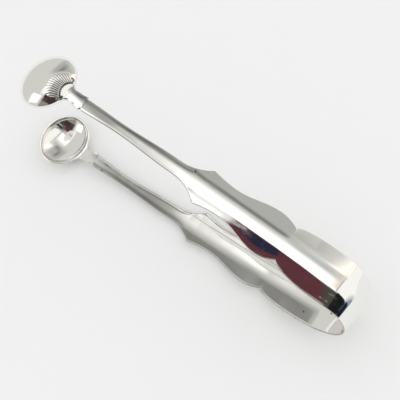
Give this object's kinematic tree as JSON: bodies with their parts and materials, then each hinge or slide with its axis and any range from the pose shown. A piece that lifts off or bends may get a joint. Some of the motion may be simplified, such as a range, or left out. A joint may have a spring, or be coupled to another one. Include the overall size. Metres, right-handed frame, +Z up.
{
  "type": "sprung tongs",
  "caption": "Sprung metal tongs with shaped grip panels, slim stems and small shell-backed spoon bowls, for lifting sugar cubes or small ice",
  "frame": {"origin": "the middle of the tongs' outline, on the table that they lie on", "axes": "+X runs along the tongs from the bow to the tips, +Y across the strip, +Z up from the table"},
  "size_m": [0.1536, 0.0242, 0.0609],
  "materials": {
    "bow_silver": "mirror polished silver with fine scratches and a few pits",
    "arm_silver": "mirror polished silver, finely scratched along its length",
    "bowl_silver": "polished silver, slightly hazed inside the bowl",
    "shell_silver": "polished silver with tarnish left between the flutes"
  },
  "bodies": {
    "lower": {"bow": "bow_silver", "lower_arm": "arm_silver", "lower_bowl": "bowl_silver", "lower_bowl_shell": "shell_silver"},
    "upper": {"upper_arm": "arm_silver", "upper_bowl": "bowl_silver", "upper_bowl_shell": "shell_silver"}
  },
  "joints": [
    {"name": "squeeze", "type": "hinge", "parent": "lower", "child": "upper", "pos_m": [-0.07622, 0, 0.01877], "axis": [0, 1, 0], "range_deg": [-3, 17.1], "stiffness_Nm_per_rad": 1, "springref_deg": -0.8, "deforming": ["bow"]}
  ]
}
